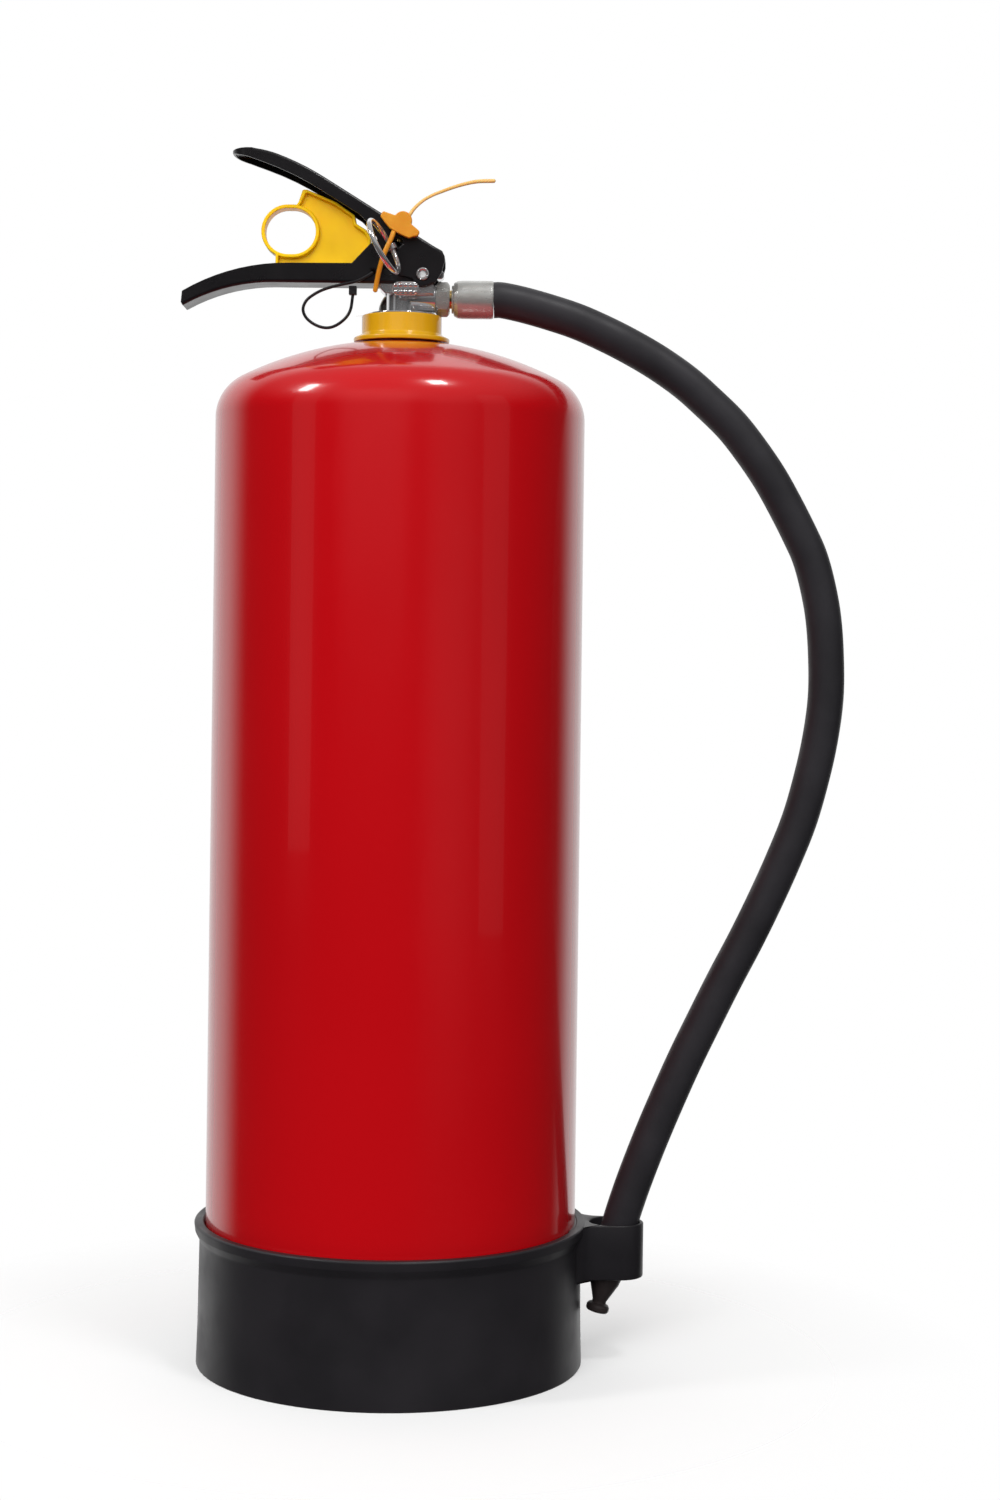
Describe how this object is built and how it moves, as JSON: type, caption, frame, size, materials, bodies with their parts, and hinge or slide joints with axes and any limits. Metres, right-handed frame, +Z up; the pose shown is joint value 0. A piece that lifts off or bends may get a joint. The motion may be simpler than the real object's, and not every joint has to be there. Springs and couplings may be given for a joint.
{
  "type": "fire extinguisher",
  "caption": "Upright red powder extinguisher with a squeeze-grip valve, safety pin and clip, gauge, side hose, nozzle and black base skirt.",
  "frame": {"origin": "centre of the base skirt's underside, on the floor under the cylinder's axis", "axes": "+Z up along the cylinder, +X towards the hose, -Y towards the front"},
  "size_m": [0.3252, 0.191, 0.5892],
  "materials": {
    "red_paint": "glossy powder coat",
    "bare_steel": "turned steel",
    "yellow_collar": "glossy moulded plastic",
    "skirt_plastic": "satin moulded polyethylene",
    "valve_chrome": "chromed brass",
    "seal_rubber": "nitrile rubber",
    "stem_brass": "turned brass",
    "spring_steel": "spring wire",
    "inner_plastic": "natural plastic",
    "powder": "loose dry powder",
    "gauge_brass": "turned brass",
    "dial_face": "printed dial with plain colour zones",
    "needle_black": "matt black paint",
    "gauge_glass": "clear polycarbonate",
    "black_coat": "satin black powder coat on pressed steel",
    "rivet_chrome": "nickel plated",
    "ring_chrome": "bright chrome",
    "clip_plastic": "yellow moulded plastic",
    "seal_plastic": "orange moulded plastic, thinner and paler at the tail",
    "tie_nylon": "black nylon",
    "zinc_plate": "zinc plated, lightly brushed",
    "hose_rubber": "matt black rubber",
    "nozzle_plastic": "satin moulded plastic"
  },
  "bodies": {
    "root": {"cylinder_shell": "red_paint", "bottom_cap": "red_paint", "neck_boss": "bare_steel", "neck_ring": "yellow_collar", "base_skirt": "skirt_plastic", "skirt_ribs": "skirt_plastic", "hose_holder": "skirt_plastic", "valve_body": "valve_chrome", "valve_oring": "seal_rubber", "port_plug": "valve_chrome", "stem_spring": "spring_steel", "dip_tube_adapter": "inner_plastic", "dip_tube": "inner_plastic", "powder_charge": "powder", "gauge_case": "gauge_brass", "gauge_bourdon": "gauge_brass", "gauge_dial": "dial_face", "gauge_lens": "gauge_glass", "gauge_bezel": "valve_chrome", "carry_handle": "black_coat", "pivot_rivet": "rivet_chrome", "handle_rivet": "black_coat", "tie_loop": "tie_nylon", "tie_head": "tie_nylon", "hose_nut": "zinc_plate", "outlet_washer": "seal_rubber", "hose_insert": "stem_brass", "hose_ferrule": "zinc_plate", "hose": "hose_rubber"},
    "lever": {"squeeze_lever": "black_coat"},
    "stem": {"valve_stem": "stem_brass", "stem_orings": "seal_rubber", "stem_seal": "seal_rubber"},
    "clip": {"safety_clip": "clip_plastic"},
    "pin": {"safety_pin": "ring_chrome", "tamper_seal": "seal_plastic", "seal_strand": "seal_plastic", "seal_tail": "seal_plastic"},
    "ring": {"pull_ring": "ring_chrome"},
    "needle": {"gauge_needle": "needle_black"},
    "nozzle": {"nozzle": "nozzle_plastic"}
  },
  "joints": [
    {"name": "lever_squeeze", "type": "hinge", "parent": "root", "child": "lever", "pos_m": [0.0103, 0, 0.5287], "axis": [0, -1, 0], "range_deg": [0, 15], "stiffness_Nm_per_rad": 2, "springref_deg": -8.59},
    {"name": "stem_travel", "type": "slide", "parent": "root", "child": "stem", "axis": [0, 0, -1], "range_m": [0, 0.0047], "deforming": ["stem_spring"]},
    {"name": "clip_pull", "type": "slide", "parent": "root", "child": "clip", "axis": [-1, 0, 0], "range_m": [0, 0.093]},
    {"name": "pin_pull", "type": "slide", "parent": "root", "child": "pin", "axis": [0, -1, 0], "range_m": [0, 0.035]},
    {"name": "ring_swing", "type": "hinge", "parent": "pin", "child": "ring", "pos_m": [-0.005, -0.0152, 0.541], "axis": [-0.454, 0, 0.891], "range_deg": [-15, 12]},
    {"name": "needle_turn", "type": "hinge", "parent": "root", "child": "needle", "pos_m": [0, 0.0255, 0.515], "axis": [0, 1, 0], "range_deg": [-95, 50], "stiffness_Nm_per_rad": 0.0002},
    {"name": "nozzle_release", "type": "slide", "parent": "root", "child": "nozzle", "axis": [0.2409, 0, 0.9705], "range_m": [0, 0.05], "deforming": ["hose"]}
  ],
  "couplings": [
    {"joint": "stem_travel", "follows": "lever_squeeze", "m_per_rad": 0.01757},
    {"joint": "clip_pull", "follows": "lever_squeeze", "m_per_rad": 0.35}
  ]
}
